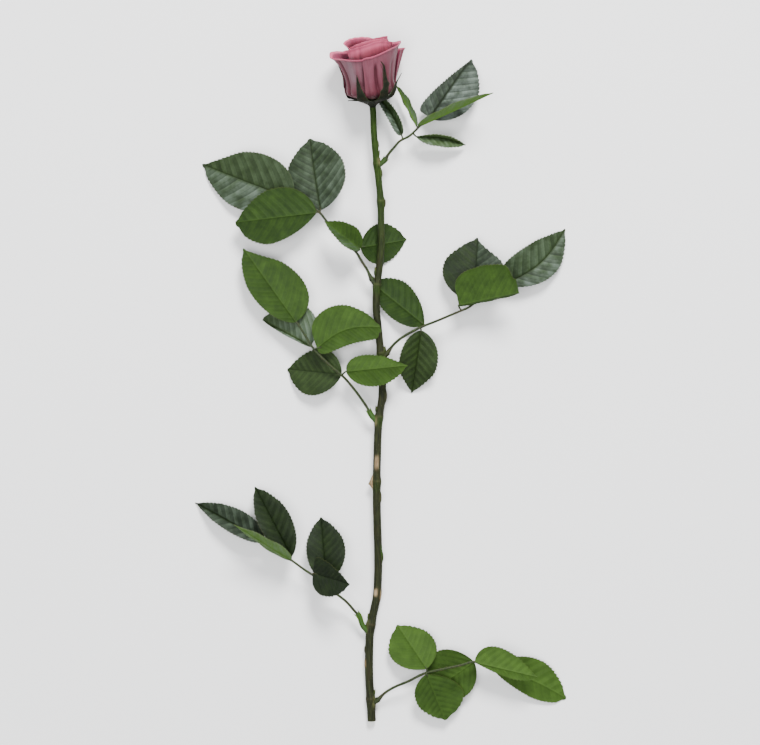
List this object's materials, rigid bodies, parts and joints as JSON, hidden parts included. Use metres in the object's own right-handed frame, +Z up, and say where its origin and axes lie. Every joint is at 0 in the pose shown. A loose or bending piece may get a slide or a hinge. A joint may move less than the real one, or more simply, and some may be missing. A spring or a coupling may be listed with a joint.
{
  "type": "cut rose",
  "caption": "Single long-stemmed cut rose with a part-open bloom and toothed compound leaves, lying down.",
  "frame": {"origin": "on the surface the rose lies on, under the middle of its bounding box", "axes": "+Y along the stem towards the bloom, +Z up from the surface, +X to the right seen from above with the bloom away from the viewer"},
  "size_m": [0.2992, 0.5503, 0.0493],
  "materials": {
    "stem": "smooth waxy olive-green bark, fresh and moist",
    "calyx": "dull green, fleshy",
    "bloom": "soft velvety pink petals",
    "leaf": "leathery green, satin above and dull below"
  },
  "bodies": {
    "root": {"stem": "stem", "calyx": "calyx", "bloom": "bloom", "leaf_upper_right": "leaf", "leaf_upper_left": "leaf", "leaf_middle_right": "leaf", "leaf_middle_left": "leaf", "leaf_lower_left": "leaf", "leaf_lower_right": "leaf"}
  },
  "joints": []
}
